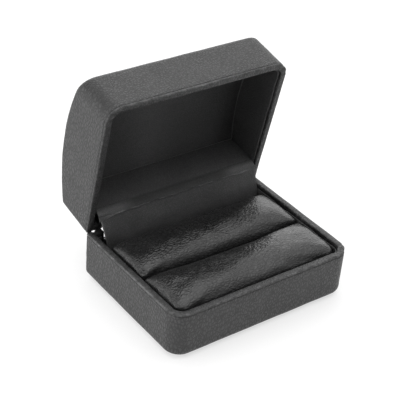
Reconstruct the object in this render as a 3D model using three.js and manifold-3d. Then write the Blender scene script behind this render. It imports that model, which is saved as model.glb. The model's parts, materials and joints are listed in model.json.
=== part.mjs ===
// Jewelry gift box with a hinged lid, standing open. Millimetres, +X right, +Y to the hinge, +Z up.
// The origin is the centre of the underside, on the surface the box stands on.
import * as THREE from "three";
import { mergeVertices } from "three/addons/utils/BufferGeometryUtils.js";
import Module from "manifold-3d";

// ---- driving dimensions ----
const WIDTH = 76;
const DEPTH = 56;
const BASE_H = 18.8; // height of the base's rim
const LID_WALL = 17.9; // lid rim to the foot of the dome
const DOME = 5.2; // rise of the lid's top, front to back
const OPEN_DEG = 78.5;
const R_FRONT = 6.2; // plan corners at the front
const R_BACK = 0.8; // plan corners at the hinge side
const R_FOOT = 2.7; // rounded edge round the underside
const R_CROWN = 1.7; // rounded edge round the lid's top
const SKIN = 0.7;
const STEEL = 0.5;
const GAP = 0.05; // between layers glued to each other
const RIM = 2.5; // width of the rim's top face
const TURN_IN = 6; // how far the skin reaches down inside
const LINER_OUT = RIM + 0.05;
const LINER_IN = 3.2;
const PANEL_T = 0.5; // underside panel

// ---- hinge ----
const BACK_FACE = 0.3; // the back walls' outer face, from the axis
const HINGE_Y = DEPTH / 2 - BACK_FACE;
const HINGE_Z = BASE_H + 0.05;
const LID_RIM = 0.05; // the lid's rim above the hinge axis, when shut
const KNUCKLE_R = 1.3;
const KNUCKLE_BORE = 0.72;
const PIN_R = 0.65;
const NOTCH = { base: 32.1, lid: 31.8 }; // half width of the cut-out in each back wall
const NOTCH_DEPTH = { base: 4.4, lid: 3.8 };
const RELIEF = 6.5; // how far the turned-in skin is cut back for a leaf
const LEAF = 29.4; // half width of the leaves
const LEAF_Y = -1.85; // inner face of a leaf, from the axis
const LEAF_T = 0.7;
const BASE_KNUCKLES = [[-29.2, -18], [-6, 6], [18, 29.2]];
const LID_KNUCKLES = [[-17.7, -6.3], [6.3, 17.7]];
const RIVET_X = 24;
const RIVET_Z = 8.6; // from the axis

// ---- insert ----
const FLOOR_TOP = PANEL_T + GAP + SKIN + GAP + STEEL;
const BOARD_Z = FLOOR_TOP + 1.15;
const ROLL_END = 34.7;
// Front to back, with the plan radius at the front and at the back.
const ROLLS = {
  front: { y: [-24.6, -2.85], r: [4.2, 1.4] },
  rear: { y: [-2.35, 18.45], r: [1.4, 2.2] },
};
const ROLL_SKIN = 0.6;
const CROWN_Z = BASE_H + 2.5;

// ---- lid lining ----
const LINING_MID = 17.5; // depth of the top lining under the middle of the dome
const LINING_SAG = 2.8;
const BACK_PANEL_Y = 18.95;

const wasm = await Module();
wasm.setup();

// ---- materials ----
function finish(color, roughness, metalness = 0) {
  return new THREE.MeshStandardMaterial({ color, roughness, metalness, side: THREE.FrontSide });
}
const SKIN_BLACK = finish(0x2b2b2c, 0.62);
const ROLL_BLACK = finish(0x202021, 0.42);
const LINING_BLACK = finish(0x17171a, 0.85);
const CARD = finish(0x3a3834, 0.9);
const FOAM = finish(0x4c4c50, 0.95);
const SHEET_STEEL = finish(0x8f9296, 0.45, 0.9);
const SPRING_STEEL = finish(0xa8abb0, 0.35, 1);

// ---- plan outlines: a rounded rectangle as its right half, from front to back ----
const BOX_PLAN = { hw: WIDTH / 2, yf: -DEPTH / 2, yb: DEPTH / 2, rf: R_FRONT, rb: R_BACK };
const DOME_STEPS = { front: 6, side: 9, back: 3 };
const FLAT_STEPS = { front: 6, side: 1, back: 3 };

function inset(plan, t) {
  return {
    hw: plan.hw - t,
    yf: plan.yf + t,
    yb: plan.yb - t,
    rf: Math.max(plan.rf - t, 0.25),
    rb: Math.max(plan.rb - t, 0.25),
  };
}

function halfOutline(plan, steps) {
  const { hw, yf, yb, rf, rb } = plan;
  const half = [];
  for (let i = 0; i <= steps.front; i++) {
    const a = ((i / steps.front - 1) * Math.PI) / 2;
    half.push([hw - rf + rf * Math.cos(a), yf + rf + rf * Math.sin(a)]);
  }
  for (let i = 1; i < steps.side; i++) {
    half.push([hw, yf + rf + ((yb - rb - yf - rf) * i) / steps.side]);
  }
  for (let i = 0; i <= steps.back; i++) {
    const a = ((i / steps.back) * Math.PI) / 2;
    half.push([hw - rb + rb * Math.cos(a), yb - rb + rb * Math.sin(a)]);
  }
  return half;
}

// A closed ring of points round a plan; height is a number or a function of y.
function ring(plan, height, steps) {
  const half = halfOutline(plan, steps);
  const z = (y) => (typeof height === "function" ? height(y) : height);
  const right = half.map(([x, y]) => [x, y, z(y)]);
  const left = half.map(([x, y]) => [-x, y, z(y)]).reverse();
  return [...right, ...left];
}

function geometryOf(points, faces) {
  const g = new THREE.BufferGeometry();
  g.setAttribute("position", new THREE.Float32BufferAttribute(points.flat(), 3));
  g.setIndex(faces.flat());
  g.computeVertexNormals();
  return g;
}

// A body through stacked rings. Open loops get a capped first and last ring; a closed
// loop joins its last ring to its first, as a hollow frame does.
function loft(rings, closed = false) {
  const m = rings[0].length;
  const faces = [];
  const count = closed ? rings.length : rings.length - 1;
  for (let j = 0; j < count; j++) {
    const lower = j * m;
    const upper = ((j + 1) % rings.length) * m;
    for (let i = 0; i < m; i++) {
      const k = (i + 1) % m;
      faces.push([lower + i, lower + k, upper + k], [lower + i, upper + k, upper + i]);
    }
  }
  if (!closed) {
    const top = (rings.length - 1) * m;
    for (let i = 0; i < m / 2 - 1; i++) {
      const [a, b, c, d] = [i, i + 1, m - 2 - i, m - 1 - i];
      faces.push([a, c, b], [a, d, c]);
      faces.push([top + a, top + b, top + c], [top + a, top + c, top + d]);
    }
  }
  return geometryOf(rings.flat(), faces);
}

// Rings from a list of [inset, height] round one plan.
function sweepRings(plan, section, steps) {
  return section.map(([t, z]) => ring(inset(plan, t), z, steps));
}

// ---- solid helpers ----
function toSolid(geometry) {
  const bare = geometry.clone();
  bare.deleteAttribute("normal");
  bare.deleteAttribute("uv");
  const merged = mergeVertices(bare, 1e-4);
  return new wasm.Manifold(
    new wasm.Mesh({
      numProp: 3,
      vertProperties: new Float32Array(merged.attributes.position.array),
      triVerts: new Uint32Array(merged.index.array),
    }),
  );
}

function toGeometry(solid) {
  const mesh = solid.getMesh();
  const g = new THREE.BufferGeometry();
  const position = new Float32Array(mesh.numVert * 3);
  for (let i = 0; i < mesh.numVert; i++) {
    const from = i * mesh.numProp;
    position.set(mesh.vertProperties.subarray(from, from + 3), i * 3);
  }
  g.setAttribute("position", new THREE.BufferAttribute(position, 3));
  g.setIndex(new THREE.BufferAttribute(new Uint32Array(mesh.triVerts), 1));
  g.computeVertexNormals();
  return g;
}

function block(x0, x1, y0, y1, z0, z1) {
  const g = new THREE.BoxGeometry(x1 - x0, y1 - y0, z1 - z0);
  return g.translate((x0 + x1) / 2, (y0 + y1) / 2, (z0 + z1) / 2);
}

// A (y, z) outline drawn out along X.
function prism(outline, x0, x1, holes = []) {
  const shape = new THREE.Shape(outline.map(([y, z]) => new THREE.Vector2(y, z)));
  shape.holes = holes.map((h) => new THREE.Path(h.map(([y, z]) => new THREE.Vector2(y, z))));
  const g = new THREE.ExtrudeGeometry(shape, { depth: x1 - x0, bevelEnabled: false, steps: 1 });
  g.applyMatrix4(new THREE.Matrix4().makeBasis(
    new THREE.Vector3(0, 1, 0),
    new THREE.Vector3(0, 0, 1),
    new THREE.Vector3(1, 0, 0),
  ));
  return g.translate(x0, 0, 0);
}

function circle(y, z, r, count = 16) {
  const points = [];
  for (let i = 0; i < count; i++) {
    const a = (i / count) * 2 * Math.PI;
    points.push([y + r * Math.cos(a), z + r * Math.sin(a)]);
  }
  return points;
}

// A band of even thickness along a (y, z) path.
function strip(path, thickness) {
  const points = path.map(([y, z]) => new THREE.Vector2(y, z));
  const sides = [[], []];
  points.forEach((p, i) => {
    const before = points[Math.max(i - 1, 0)];
    const after = points[Math.min(i + 1, points.length - 1)];
    const along = after.clone().sub(before).normalize();
    const across = new THREE.Vector2(-along.y, along.x).multiplyScalar(thickness / 2);
    sides[0].push([p.x + across.x, p.y + across.y]);
    sides[1].push([p.x - across.x, p.y - across.y]);
  });
  return [...sides[1], ...sides[0].reverse()];
}

function smoothPath(points, count) {
  const curve = new THREE.SplineCurve(points.map(([y, z]) => new THREE.Vector2(y, z)));
  return curve.getSpacedPoints(count).map((p) => [p.x, p.y]);
}

function cylinderY(x, z, r, y0, y1, count = 16) {
  const g = new THREE.CylinderGeometry(r, r, y1 - y0, count);
  return g.translate(x, (y0 + y1) / 2, z);
}

function union(geometries) {
  return geometries.map(toSolid).reduce((a, b) => a.add(b));
}

function cut(geometry, tools) {
  return toGeometry(tools.map(toSolid).reduce((a, b) => a.subtract(b), toSolid(geometry)));
}

function addTo(group, name, geometry, material) {
  const mesh = new THREE.Mesh(geometry, material);
  mesh.name = name;
  group.add(mesh);
}

// Quarter turn of a rounded edge as [inset, rise] pairs about a centre `big` in from the wall.
function edgeArc(big, radius, steps) {
  const arc = [];
  for (let i = 0; i <= steps; i++) {
    const a = ((i / steps) * Math.PI) / 2;
    arc.push([big - radius * Math.sin(a), -radius * Math.cos(a)]);
  }
  return arc;
}

const box = new THREE.Group();
box.name = "jewelry_gift_box";
const base = new THREE.Group();
base.name = "base";
const lid = new THREE.Group();
lid.name = "lid";
lid.position.set(0, HINGE_Y, HINGE_Z);
lid.rotation.x = -THREE.MathUtils.degToRad(OPEN_DEG);
box.add(base, lid);

// ---- base: skin, steel tray, underside ----
const SKIN_Z = PANEL_T + GAP;
const FOOT_Z = SKIN_Z + R_FOOT;

// The cut-out for the hinge in a back wall, and the relief for its leaf inside, from the axis's (y, z).
function hingeCuts(body, y, z) {
  const side = body === "base" ? -1 : 1;
  const half = NOTCH[body];
  const rows = (far) => [z - side, z + side * far].sort((a, b) => a - b);
  return [
    block(-half, half, y - 4, y + 2, ...rows(NOTCH_DEPTH[body])),
    block(-half, half, y - 4, y + LEAF_Y + LEAF_T + 0.05, ...rows(RELIEF)),
  ];
}

function rimSection(top, up) {
  // Rim edge from the outer wall over the top face and down inside; up is 1 for the base, -1 for the lid.
  return [
    [0, top - up * 1.4],
    [0.28, top - up * 1.1],
    [0, top - up * 0.8],
    [0, top - up * 0.45],
    [0.15, top - up * 0.13],
    [0.5, top],
    [RIM - 0.5, top],
    [RIM - 0.14, top - up * 0.14],
    [RIM, top - up * 0.5],
    [RIM, top - up * TURN_IN],
    [RIM - 0.6, top - up * TURN_IN],
    [RIM - 0.6, top - up * 0.75],
    [SKIN, top - up * 0.75],
  ];
}

function baseCover() {
  const outer = edgeArc(R_FOOT, R_FOOT, 4).map(([t, z]) => [t, FOOT_Z + z]);
  const inner = edgeArc(R_FOOT, R_FOOT - SKIN, 4).map(([t, z]) => [t, FOOT_Z + z]).reverse();
  const section = [
    [8, SKIN_Z],
    ...outer,
    ...rimSection(BASE_H, 1),
    ...inner,
    [8, SKIN_Z + SKIN],
  ];
  const cover = loft(sweepRings(BOX_PLAN, section, FLAT_STEPS), true);
  return cut(cover, hingeCuts("base", HINGE_Y, HINGE_Z));
}

// Clearance holes for the rivets, given the hinge axis's y.
function rivetHoles(y, z) {
  return [-RIVET_X, RIVET_X].map((x) => cylinderY(x, z, 0.8, y - 6, y));
}

function baseShell() {
  const t = SKIN + GAP;
  const outer = edgeArc(R_FOOT, R_FOOT - t, 4).map(([i, z]) => [i, FOOT_Z + z]);
  const inner = edgeArc(R_FOOT, R_FOOT - t - STEEL, 4).map(([i, z]) => [i, FOOT_Z + z]).reverse();
  const curl = RIM - 0.65;
  const section = [
    ...outer,
    [t, BASE_H - 0.8],
    [curl, BASE_H - 0.8],
    [curl, BASE_H - 1.9],
    [t + STEEL, BASE_H - 2.3],
    ...inner,
  ];
  return cut(loft(sweepRings(BOX_PLAN, section, FLAT_STEPS)), [
    ...hingeCuts("base", HINGE_Y, HINGE_Z),
    ...rivetHoles(HINGE_Y, HINGE_Z - RIVET_Z),
  ]);
}

function slab(plan, z0, z1) {
  return loft([ring(plan, z0, FLAT_STEPS), ring(plan, z1, FLAT_STEPS)]);
}

function baseLiner() {
  const section = [
    [LINER_OUT, FLOOR_TOP + 0.15],
    [LINER_OUT, BASE_H - 1.5],
    [LINER_IN, BASE_H - 1.5],
    [LINER_IN, FLOOR_TOP + 0.15],
  ];
  return cut(loft(sweepRings(BOX_PLAN, section, FLAT_STEPS), true), [
    block(-NOTCH.base - 1.1, NOTCH.base + 1.1, 22, 27, 8, 20),
  ]);
}

addTo(base, "base_cover", baseCover(), SKIN_BLACK);
addTo(base, "base_shell", baseShell(), SHEET_STEEL);
addTo(base, "base_underside_panel", slab(inset(BOX_PLAN, 3.4), 0, PANEL_T), SKIN_BLACK);
addTo(base, "base_liner", baseLiner(), LINING_BLACK);
addTo(base, "base_floor_card", slab(inset(BOX_PLAN, 3.4), FLOOR_TOP + 0.05, FLOOR_TOP + 1.05), CARD);

// ---- insert: board, foam cores and covered rolls ----
const ROLL_STEPS = { front: 3, side: 4, back: 3 };
const ROLL_FOOT = BOARD_Z + 1.05;

function rollPlan({ y, r }, shrink = 0) {
  return inset({ hw: ROLL_END, yf: y[0], yb: y[1], rf: r[0], rb: r[1] }, shrink);
}

// Height over the roll's shoulder, at a distance in from its edge.
function crownHeight(inFromEdge) {
  const shoulder = BASE_H - 2.6;
  const reach = 10.4;
  const rise = CROWN_Z - shoulder;
  const k = 1 - Math.min(inFromEdge / reach, 1);
  return shoulder + rise * (1 - k ** 2.2) ** (1 / 2.2);
}

function rollRings(roll, shrink, foot) {
  const steps = [0, 0.12, 0.6, 1.5, 3, 5, 7.4, 9.6];
  const plan = rollPlan(roll, shrink);
  return [
    ring(plan, foot, ROLL_STEPS),
    ...steps.map((s) => ring(inset(plan, s), crownHeight(s) - shrink, ROLL_STEPS)),
  ];
}

function rollCover(roll) {
  const inner = rollRings(roll, ROLL_SKIN, ROLL_FOOT).reverse();
  return loft([...inner, ...rollRings(roll, 0, ROLL_FOOT)]);
}

const boardPlan = inset({ hw: ROLL_END, yf: ROLLS.front.y[0], yb: ROLLS.rear.y[1], rf: 4.2, rb: 2.2 }, 0.3);
addTo(base, "insert_board", slab(boardPlan, BOARD_Z, BOARD_Z + 1), CARD);
for (const [side, roll] of Object.entries(ROLLS)) {
  addTo(base, "cushion_cover_" + side, rollCover(roll), ROLL_BLACK);
  addTo(base, "cushion_core_" + side, loft(rollRings(roll, ROLL_SKIN + GAP, ROLL_FOOT)), FOAM);
}

// ---- hinge: two leaves with meshing knuckles on one pin ----
function knuckle([x0, x1], y, z) {
  return prism(circle(y, z, KNUCKLE_R), x0, x1, [circle(y, z, KNUCKLE_BORE)]);
}

// side is -1 for the base's leaf, which hangs down from the axis, and 1 for the lid's.
function hingeLeaf(knuckles, side, y, z) {
  const face = LEAF_Y;
  const rows = [side * 2.9, side * 11.8].sort((a, b) => a - b);
  const plate = block(-LEAF, LEAF, y + face, y + face + LEAF_T, z + rows[0], z + rows[1]);
  const arm = [
    [face, side * 3.2],
    [face + LEAF_T, side * 3.2],
    [face + LEAF_T, side * 1.7],
    [-0.3, side * 1.0],
    [-0.95, side * -0.1],
    [face, side * 1.2],
  ].map(([dy, dz]) => [y + dy, z + dz]);
  const bore = prism(circle(y, z, KNUCKLE_BORE), -LEAF - 1, LEAF + 1);
  const parts = knuckles.flatMap((k) => [knuckle(k, y, z), prism(arm, k[0], k[1])]);
  const solid = union([plate, ...parts]).subtract(toSolid(bore));
  return toGeometry(rivetHoles(y, z + side * RIVET_Z).reduce((s, h) => s.subtract(toSolid(h)), solid));
}

function hingePin() {
  return prism(circle(HINGE_Y, HINGE_Z, PIN_R, 16), -29.3, 29.3);
}

function rivet(x, y, z) {
  const head = y + LEAF_Y;
  const profile = [
    [0, head - 0.55],
    [0.7, head - 0.5],
    [1.25, head - 0.05],
    [0.65, head - 0.05],
    [0.65, y + BACK_FACE - SKIN - GAP - 0.05],
    [0, y + BACK_FACE - SKIN - GAP - 0.05],
  ].map(([r, d]) => new THREE.Vector2(r, d));
  return new THREE.LatheGeometry(profile, 12).translate(x, 0, z);
}

// A flat bow spring from the base's leaf, round in front of the axis, to the lid's leaf.
const SPRING_PATH = [[25.5, 10.8], [24.5, 13.4], [24, 16.6], [24.6, 19.8], [26.8, 21.9], [30.4, 22.5], [34, 22.4]];

function bowSpring(x) {
  return prism(strip(smoothPath(SPRING_PATH, 12), 0.4), x - 2.5, x + 2.5);
}

addTo(base, "hinge_base_leaf", hingeLeaf(BASE_KNUCKLES, -1, HINGE_Y, HINGE_Z), SHEET_STEEL);
addTo(base, "hinge_pin", hingePin(), SPRING_STEEL);
for (const [side, sign] of [["left", -1], ["right", 1]]) {
  addTo(base, "hinge_rivet_base_" + side, rivet(sign * RIVET_X, HINGE_Y, HINGE_Z - RIVET_Z), SPRING_STEEL);
  addTo(base, "hinge_spring_" + side, bowSpring(sign * 12), SPRING_STEEL);
}

// ---- leatherette flap from the lid's back lining down behind the cushion ----
const FLAP_PATH = [[26.05, 27.95], [25.5, 25.95], [24.35, 22.95], [22.9, 19.45], [22.05, 16], [21.8, 12], [22, 7.5]];
const FLAP_X = [-33.9, 34.6]; // glued on a little to the right

// The flap's left end is cut on a slant: narrower where it goes down behind the cushion.
function flapLeft(z) {
  const t = Math.min(Math.max((25.7 - z) / (25.7 - 7.5), 0), 1);
  return FLAP_X[0] + 1.7 * t;
}

function coverFlap() {
  const g = prism(strip(smoothPath(FLAP_PATH, 10), 0.6), ...FLAP_X);
  const at = g.attributes.position;
  for (let i = 0; i < at.count; i++) {
    if (at.getX(i) < 0) at.setX(i, flapLeft(at.getZ(i)));
  }
  return g;
}

addTo(base, "hinge_cover_flap", coverFlap(), LINING_BLACK);

// ---- lid, drawn shut and measured from the hinge axis ----
const LID_PLAN = { ...BOX_PLAN, yf: -DEPTH / 2 - HINGE_Y, yb: DEPTH / 2 - HINGE_Y };
const MID_Y = -HINGE_Y;
const domeTop = (y) => LID_RIM + LID_WALL + DOME * (1 - (2 * (y - MID_Y) / DEPTH) ** 2);
const liningUnder = (y) => LID_RIM + LINING_MID - LINING_SAG * ((y - MID_Y) / 19) ** 2;

// Rings over the lid's top edge and dome, for a layer that lies `depth` under the surface.
function domeRings(depth, steps) {
  const rings = [];
  const radius = R_CROWN - depth;
  for (let i = 0; i <= steps; i++) {
    const a = ((i / steps) * Math.PI) / 2;
    const t = R_CROWN - radius * Math.cos(a);
    const drop = R_CROWN - radius * Math.sin(a);
    rings.push(ring(inset(LID_PLAN, t), (y) => domeTop(y) - drop, DOME_STEPS));
  }
  return rings;
}

function lidCover() {
  const section = rimSection(LID_RIM, -1).reverse();
  const walls = sweepRings(LID_PLAN, section, DOME_STEPS);
  const inner = domeRings(SKIN, 3).reverse();
  return cut(loft([...inner, ...walls, ...domeRings(0, 3)]), hingeCuts("lid", 0, 0));
}

function lidShell() {
  const t = SKIN + GAP;
  const curl = RIM - 0.65;
  const section = [
    [t + STEEL, LID_RIM + 2.3],
    [curl, LID_RIM + 1.9],
    [curl, LID_RIM + 0.8],
    [t, LID_RIM + 0.8],
  ];
  const walls = sweepRings(LID_PLAN, section, DOME_STEPS);
  const inner = domeRings(t + STEEL, 3).reverse();
  return cut(loft([...inner, ...walls, ...domeRings(t, 3)]), [
    ...hingeCuts("lid", 0, 0),
    ...rivetHoles(0, RIVET_Z),
  ]);
}

function liningTop() {
  const plan = inset(LID_PLAN, LINER_IN + 0.15);
  return loft([ring(plan, liningUnder, DOME_STEPS), ring(plan, (y) => liningUnder(y) + 1, DOME_STEPS)]);
}

function liningWall() {
  const top = (y) => liningUnder(y) + 0.9;
  const rings = [
    ring(inset(LID_PLAN, LINER_OUT), LID_RIM + 0.8, DOME_STEPS),
    ring(inset(LID_PLAN, LINER_OUT), top, DOME_STEPS),
    ring(inset(LID_PLAN, LINER_IN), top, DOME_STEPS),
    ring(inset(LID_PLAN, LINER_IN), LID_RIM + 0.8, DOME_STEPS),
  ];
  return cut(loft(rings, true), [block(-33.5, 33.5, BACK_PANEL_Y - HINGE_Y + 1.2, 0, -1, 24)]);
}

function liningBack() {
  const y0 = BACK_PANEL_Y - HINGE_Y;
  const top = liningUnder(y0 + 1) - 0.2;
  return block(LINER_IN - WIDTH / 2 + 0.15, WIDTH / 2 - LINER_IN - 0.15, y0, y0 + 1, LID_RIM + 0.4, top);
}

function padding() {
  const plan = inset(LID_PLAN, LINER_IN + 0.4);
  return loft([
    ring(plan, (y) => liningUnder(y) + 1.1, DOME_STEPS),
    ring(plan, (y) => domeTop(y) - SKIN - STEEL - 0.3, DOME_STEPS),
  ]);
}

addTo(lid, "lid_cover", lidCover(), SKIN_BLACK);
addTo(lid, "lid_shell", lidShell(), SHEET_STEEL);
addTo(lid, "lid_padding", padding(), FOAM);
addTo(lid, "lid_lining_top", liningTop(), LINING_BLACK);
addTo(lid, "lid_lining_wall", liningWall(), LINING_BLACK);
addTo(lid, "lid_lining_back", liningBack(), LINING_BLACK);
addTo(lid, "hinge_lid_leaf", hingeLeaf(LID_KNUCKLES, 1, 0, 0), SHEET_STEEL);
for (const [side, sign] of [["left", -1], ["right", 1]]) {
  addTo(lid, "hinge_rivet_lid_" + side, rivet(sign * RIVET_X, 0, RIVET_Z), SPRING_STEEL);
}

export default box;
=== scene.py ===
"""Jewelry gift box: skins, lining, rolls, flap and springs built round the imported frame."""

import json
import math

import bmesh
import bpy
import numpy as np
from mathutils import Matrix, Vector


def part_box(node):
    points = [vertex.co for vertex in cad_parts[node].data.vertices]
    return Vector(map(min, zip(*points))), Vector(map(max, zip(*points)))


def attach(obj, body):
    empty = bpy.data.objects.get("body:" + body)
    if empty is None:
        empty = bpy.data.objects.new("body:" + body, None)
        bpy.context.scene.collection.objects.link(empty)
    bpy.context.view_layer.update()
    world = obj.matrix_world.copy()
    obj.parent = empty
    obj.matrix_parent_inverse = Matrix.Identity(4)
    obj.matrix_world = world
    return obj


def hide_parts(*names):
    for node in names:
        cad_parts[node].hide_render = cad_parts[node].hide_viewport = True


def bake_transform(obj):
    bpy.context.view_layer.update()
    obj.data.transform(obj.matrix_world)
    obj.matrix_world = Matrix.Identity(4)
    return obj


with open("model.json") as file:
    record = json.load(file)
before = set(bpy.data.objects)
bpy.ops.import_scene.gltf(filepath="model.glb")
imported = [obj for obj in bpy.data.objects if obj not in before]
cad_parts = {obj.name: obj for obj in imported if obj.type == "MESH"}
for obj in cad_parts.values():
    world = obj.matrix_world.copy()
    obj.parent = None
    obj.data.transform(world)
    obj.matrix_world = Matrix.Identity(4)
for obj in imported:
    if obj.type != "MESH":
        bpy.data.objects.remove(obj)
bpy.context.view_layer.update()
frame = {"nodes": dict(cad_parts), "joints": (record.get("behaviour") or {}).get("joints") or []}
MM = 0.001
scene = bpy.context.scene
scene.view_settings.view_transform = "Standard"
scene.view_settings.look = "None"


# ---------------------------------------------------------------- camera
CAMERA_AZIMUTH, CAMERA_ELEVATION, CAMERA_ROLL = -38.54, 33.25, 5.03  # degrees
CAMERA_TARGET = (0.07, 13.18, 28.86)  # mm
CAMERA_DISTANCE = 426.9  # mm
CAMERA_LENS, CAMERA_SENSOR = 107.78, 36  # mm


def add_camera():
    azimuth = math.radians(CAMERA_AZIMUTH)
    elevation = math.radians(CAMERA_ELEVATION)
    roll = math.radians(CAMERA_ROLL)
    back = Vector(
        (
            math.sin(azimuth) * math.cos(elevation),
            -math.cos(azimuth) * math.cos(elevation),
            math.sin(elevation),
        )
    )
    right = Vector((math.cos(azimuth), math.sin(azimuth), 0))
    up = back.cross(right)
    rolled_right = right * math.cos(roll) + up * math.sin(roll)
    rolled_up = -right * math.sin(roll) + up * math.cos(roll)
    place = Matrix((rolled_right, rolled_up, back)).transposed().to_4x4()
    place.translation = (Vector(CAMERA_TARGET) + back * CAMERA_DISTANCE) * MM
    data = bpy.data.cameras.new("camera")
    data.sensor_width = CAMERA_SENSOR
    data.lens = CAMERA_LENS
    data.clip_start = 0.01
    data.clip_end = 20
    camera = bpy.data.objects.new("camera", data)
    scene.collection.objects.link(camera)
    camera.matrix_world = place
    scene.camera = camera


add_camera()

# ---------------------------------------------------------------- dimensions, mm
low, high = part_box("base_cover")
HALF_W = high.x / MM
HALF_D = high.y / MM
RIM_Z = high.z / MM
SKIN_Z = low.z / MM
joint = frame["joints"][0]
HINGE = np.array(joint["pos_m"]) / MM
OPEN = math.radians(joint["range_deg"][1])
R_FRONT, R_BACK, R_FOOT, R_CROWN = 6.2, 0.8, 2.7, 1.7  # round the corners, the foot and the dome
SKIN, RIM, TURN_IN = 0.7, 2.5, 6.0  # the skin's thickness, the rim's width, how deep it turns in
PLAIN_WALL = 1.55  # the plain wall ends this far from the rim's top
LID_RIM, LID_WALL, DOME = 0.05, 17.9, 5.2
NOTCH_BASE, NOTCH_BASE_Z = 32.12, 4.4  # half width and depth of the hinge's cut-out in a back wall
NOTCH_LID, NOTCH_LID_Z = 31.62, 3.8
RELIEF = 6.5
RELIEF_Y = -1.1  # how near the axis the relief for a hinge leaf comes
CUT_FRONT, CUT_BACK, CUT_PAST = 4, 3, 2  # how far the cuts reach before, behind and past the axis
BULGE_OUT, BULGE_UP = 0.06, 0.049  # the back rims' swelling where they press together
NICK_X, NICK_WIDTH = 35.25, 0.55  # the nicks in the back rims beside the hinge
LINER_OUT, LINER_IN = 2.55, 3.2
LINING_MID, LINING_SAG = 17.5, 2.8
BACK_PANEL_Y = 18.95


# ---------------------------------------------------------------- mesh helpers
def plan(hw, yf, yb, rf, rb):
    return {"hw": hw, "yf": yf, "yb": yb, "rf": rf, "rb": rb}


def inset(p, t):
    return plan(
        p["hw"] - t,
        p["yf"] + t,
        p["yb"] - t,
        max(p["rf"] - t, 0.25),
        max(p["rb"] - t, 0.25),
    )


BOX = plan(HALF_W, -HALF_D, HALF_D, R_FRONT, R_BACK)
LID = plan(HALF_W, -HALF_D - HINGE[1], HALF_D - HINGE[1], R_FRONT, R_BACK)


BACK_STEPS = 64
# Shares of the back wall's length that get extra steps, close to the nicks in the back rims.
NICK_STEPS = np.array([0.019, 0.0225, 0.0255, 0.0285, 0.035, 0.039])


def outline(p, front=64, side=48, back=BACK_STEPS, arc_f=14, arc_b=6):
    """Closed rounded rectangle as (n, 2), anticlockwise from the front's right end."""
    hw, yf, yb, rf, rb = p["hw"], p["yf"], p["yb"], p["rf"], p["rb"]
    corners = [
        (hw - rf, yf + rf, rf, -90, arc_f),
        (hw - rb, yb - rb, rb, 0, arc_b),
        (-hw + rb, yb - rb, rb, 90, arc_b),
        (-hw + rf, yf + rf, rf, 180, arc_f),
    ]
    counts = [side, back, side, front]
    pts = []
    for k, (cx, cy, r, a0, n) in enumerate(corners):
        a = np.radians(a0 + 90 * np.arange(n + 1) / n)
        bend = np.column_stack([cx + r * np.cos(a), cy + r * np.sin(a)])
        pts.append(bend)
        nx, ny, nr, na, _ = corners[(k + 1) % 4]
        b = math.radians(na)
        end = np.array([nx + nr * math.cos(b), ny + nr * math.sin(b)])
        t = np.arange(1, counts[k]) / counts[k]
        if k == 1 and back == BACK_STEPS:
            t = np.sort(np.concatenate([t, NICK_STEPS, 1 - NICK_STEPS]))
        pts.append(bend[-1] * (1 - t[:, None]) + end * t[:, None])
    return np.concatenate(pts)


def ring(p, height, **steps):
    xy = outline(p, **steps)
    z = height(xy[:, 1]) if callable(height) else np.full(len(xy), float(height))
    return np.column_stack([xy, z])


def arc(cx, cz, r, a0, a1, n):
    a = np.radians(np.linspace(a0, a1, n + 1))
    return [(cx - r * math.cos(t), cz + r * math.sin(t)) for t in a]


def waves(p, length, seed, count=10):
    """Smooth noise about -1..1: a sum of plane waves in random directions."""
    rng = np.random.default_rng(seed)
    d = rng.normal(size=(count, 3))
    d /= np.linalg.norm(d, axis=1)[:, None]
    k = 2 * math.pi / (length * rng.uniform(0.7, 1.5, count))
    phase = rng.uniform(0, 2 * math.pi, count)
    return np.sin(p @ (d * k[:, None]).T + phase).sum(1) / math.sqrt(count)


def to_world(points, lid):
    """Part points in mm to world points in metres; lid points are drawn shut, from the axis."""
    if not lid:
        return points * MM
    c, s = math.cos(-OPEN), math.sin(-OPEN)
    y = points[:, 1] * c - points[:, 2] * s
    z = points[:, 1] * s + points[:, 2] * c
    return (np.column_stack([points[:, 0], y, z]) + HINGE) * MM


def mesh_object(name, verts, faces, attributes=None, lid=False):
    mesh = bpy.data.meshes.new(name)
    mesh.from_pydata(to_world(np.asarray(verts, float), lid).tolist(), [], faces)
    for key, values in (attributes or {}).items():
        layer = mesh.attributes.new(key, "FLOAT", "POINT")
        layer.data.foreach_set("value", np.asarray(values, np.float32))
    bm = bmesh.new()
    bm.from_mesh(mesh)
    bmesh.ops.recalc_face_normals(bm, faces=bm.faces)
    bm.to_mesh(mesh)
    bm.free()
    for f in mesh.polygons:
        f.use_smooth = True
    obj = bpy.data.objects.new(name, mesh)
    scene.collection.objects.link(obj)
    return obj


def loft_faces(count, m, closed, caps):
    faces = []
    for j in range(count if closed else count - 1):
        a, b = j * m, ((j + 1) % count) * m
        for i in range(m):
            k = (i + 1) % m
            faces.append((a + i, a + k, b + k, b + i))
    if caps:
        faces.append(tuple(range(m))[::-1])
        faces.append(tuple(range((count - 1) * m, count * m)))
    return faces


def loft(name, rings, closed=False, lid=False, shape=None, attributes=None):
    pts = np.concatenate(rings)
    if shape is not None:
        pts = shape(pts)
    faces = loft_faces(len(rings), len(rings[0]), closed, not closed)
    return mesh_object(name, pts, faces, attributes, lid)


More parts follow.
